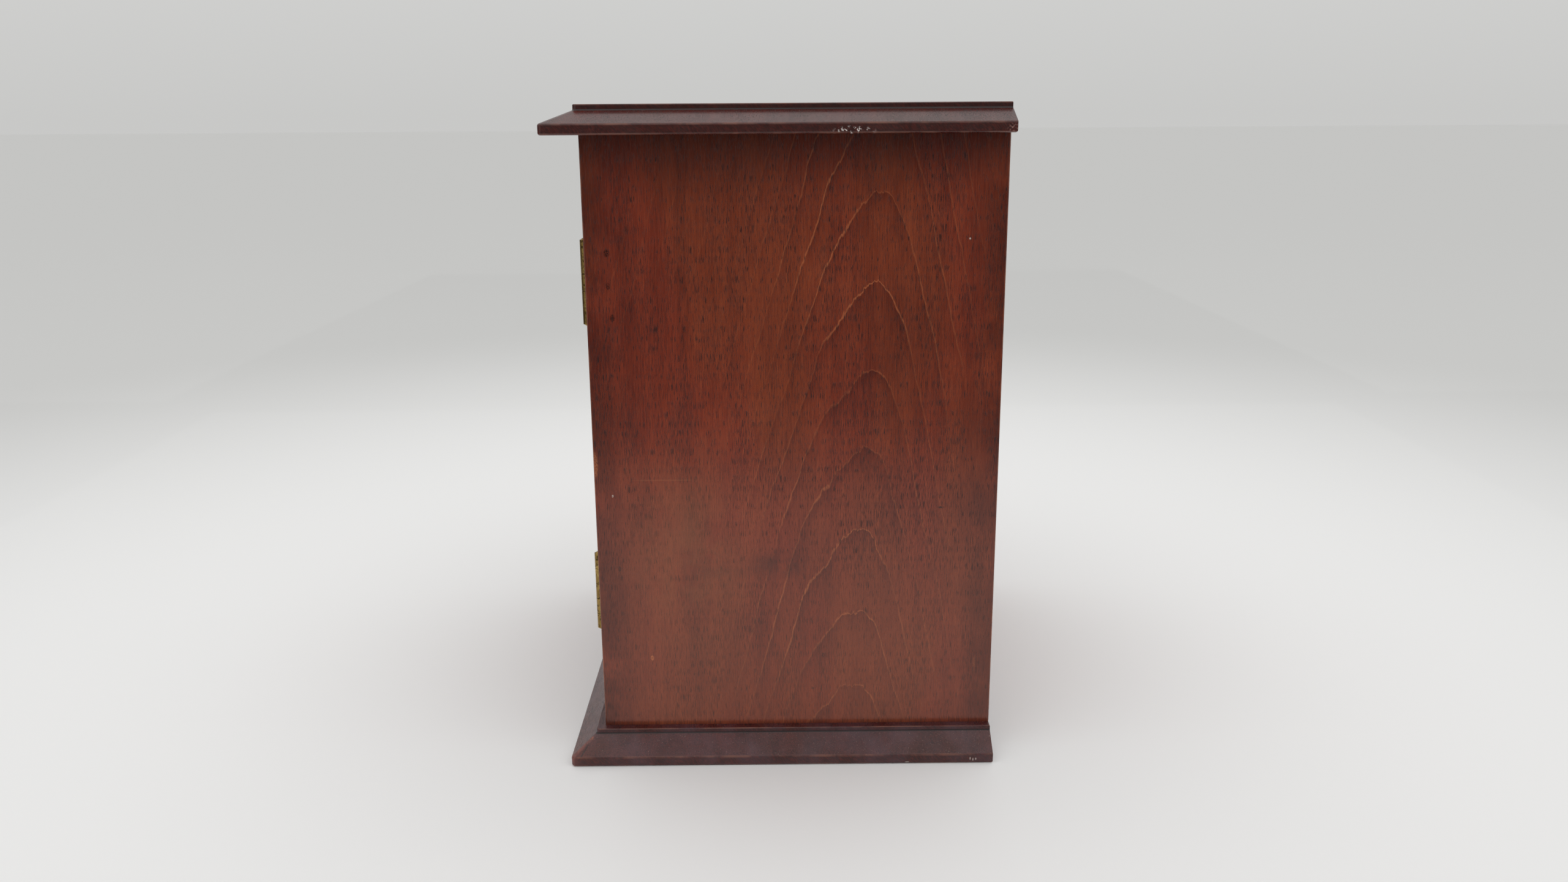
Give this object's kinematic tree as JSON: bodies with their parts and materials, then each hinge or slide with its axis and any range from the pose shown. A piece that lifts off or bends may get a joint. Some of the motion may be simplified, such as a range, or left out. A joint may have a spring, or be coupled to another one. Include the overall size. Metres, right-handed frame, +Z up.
{
  "type": "jewelry armoire",
  "caption": "Small table-top cabinet with moulded base and top, one hinged panelled door with a lock and key, and graduated velvet-lined drawers inside.",
  "frame": {"origin": "middle of the footprint, on the surface that the cabinet stands on", "axes": "+Z up, +X to the cabinet's right, -Y out of its front"},
  "size_m": [0.34, 0.27, 0.4099],
  "materials": {
    "mahogany": "french polished, satin, worn",
    "dark_mahogany": "dark stained and polished, worn at the edges",
    "secondary_wood": "plain planed wood, lightly waxed",
    "brass": "aged, darkened",
    "steel": "dull, slightly browned",
    "velvet": "short cotton velvet"
  },
  "bodies": {
    "case": {"base_board": "dark_mahogany", "top_board": "dark_mahogany", "left_side": "mahogany", "right_side": "mahogany", "back_panel": "secondary_wood", "base_screws": "steel", "back_screws": "steel", "hinge_case_screws": "brass", "nest_left_side": "secondary_wood", "nest_right_side": "secondary_wood", "packing_strips": "secondary_wood", "drawer_dividers": "secondary_wood", "upper_hinge_case_leaf": "brass", "upper_hinge_pin": "brass", "lower_hinge_case_leaf": "brass", "lower_hinge_pin": "brass"},
    "door": {"door_hinge_stile": "mahogany", "door_lock_stile": "mahogany", "door_bottom_rail": "mahogany", "door_top_rail": "mahogany", "door_panel": "mahogany", "hinge_door_screws": "brass", "lock_case": "brass", "lock_screws": "brass", "keyhole_escutcheon": "brass", "upper_hinge_door_leaf": "brass", "lower_hinge_door_leaf": "brass"},
    "key": {"lock_key": "steel"},
    "bolt": {"lock_bolt": "steel"},
    "drawer_1": {"drawer_1_front": "mahogany", "drawer_1_sides": "secondary_wood", "drawer_1_back": "secondary_wood", "drawer_1_bottom": "secondary_wood", "drawer_1_lining": "velvet", "drawer_1_knob": "brass", "ring_rolls": "velvet"},
    "drawer_2": {"drawer_2_front": "mahogany", "drawer_2_sides": "secondary_wood", "drawer_2_back": "secondary_wood", "drawer_2_bottom": "secondary_wood", "drawer_2_lining": "velvet", "drawer_2_knob": "brass"},
    "drawer_3": {"drawer_3_front": "mahogany", "drawer_3_sides": "secondary_wood", "drawer_3_back": "secondary_wood", "drawer_3_bottom": "secondary_wood", "drawer_3_lining": "velvet", "drawer_3_knob": "brass"},
    "drawer_4": {"drawer_4_front": "mahogany", "drawer_4_sides": "secondary_wood", "drawer_4_back": "secondary_wood", "drawer_4_bottom": "secondary_wood", "drawer_4_lining": "velvet", "drawer_4_knob": "brass"},
    "drawer_5": {"drawer_5_front": "mahogany", "drawer_5_sides": "secondary_wood", "drawer_5_back": "secondary_wood", "drawer_5_bottom": "secondary_wood", "drawer_5_lining": "velvet", "drawer_5_knob": "brass"}
  },
  "joints": [
    {"name": "door_hinge", "type": "hinge", "parent": "case", "child": "door", "pos_m": [0.1375, -0.1161, 0.2059], "axis": [0, 0, 1], "range_deg": [0, 180]},
    {"name": "key_turn", "type": "hinge", "parent": "door", "child": "key", "pos_m": [-0.11879, -0.11, 0.2009], "axis": [0, 1, 0], "range_deg": [0, 180]},
    {"name": "bolt_slide", "type": "slide", "parent": "door", "child": "bolt", "axis": [-1, 0, 0], "range_m": [0, 0.0065]},
    {"name": "drawer_1_slide", "type": "slide", "parent": "case", "child": "drawer_1", "axis": [0, -1, 0], "range_m": [0, 0.135]},
    {"name": "drawer_2_slide", "type": "slide", "parent": "case", "child": "drawer_2", "axis": [0, -1, 0], "range_m": [0, 0.135]},
    {"name": "drawer_3_slide", "type": "slide", "parent": "case", "child": "drawer_3", "axis": [0, -1, 0], "range_m": [0, 0.135]},
    {"name": "drawer_4_slide", "type": "slide", "parent": "case", "child": "drawer_4", "axis": [0, -1, 0], "range_m": [0, 0.135]},
    {"name": "drawer_5_slide", "type": "slide", "parent": "case", "child": "drawer_5", "axis": [0, -1, 0], "range_m": [0, 0.135]}
  ],
  "couplings": [
    {"joint": "bolt_slide", "follows": "key_turn", "m_per_rad": 0.00205},
    {"joint": "drawer_1_slide", "follows": "door_hinge", "m_per_rad": 0.022},
    {"joint": "drawer_2_slide", "follows": "door_hinge", "m_per_rad": 0.027},
    {"joint": "drawer_3_slide", "follows": "door_hinge", "m_per_rad": 0.032},
    {"joint": "drawer_4_slide", "follows": "door_hinge", "m_per_rad": 0.037},
    {"joint": "drawer_5_slide", "follows": "door_hinge", "m_per_rad": 0.042}
  ]
}
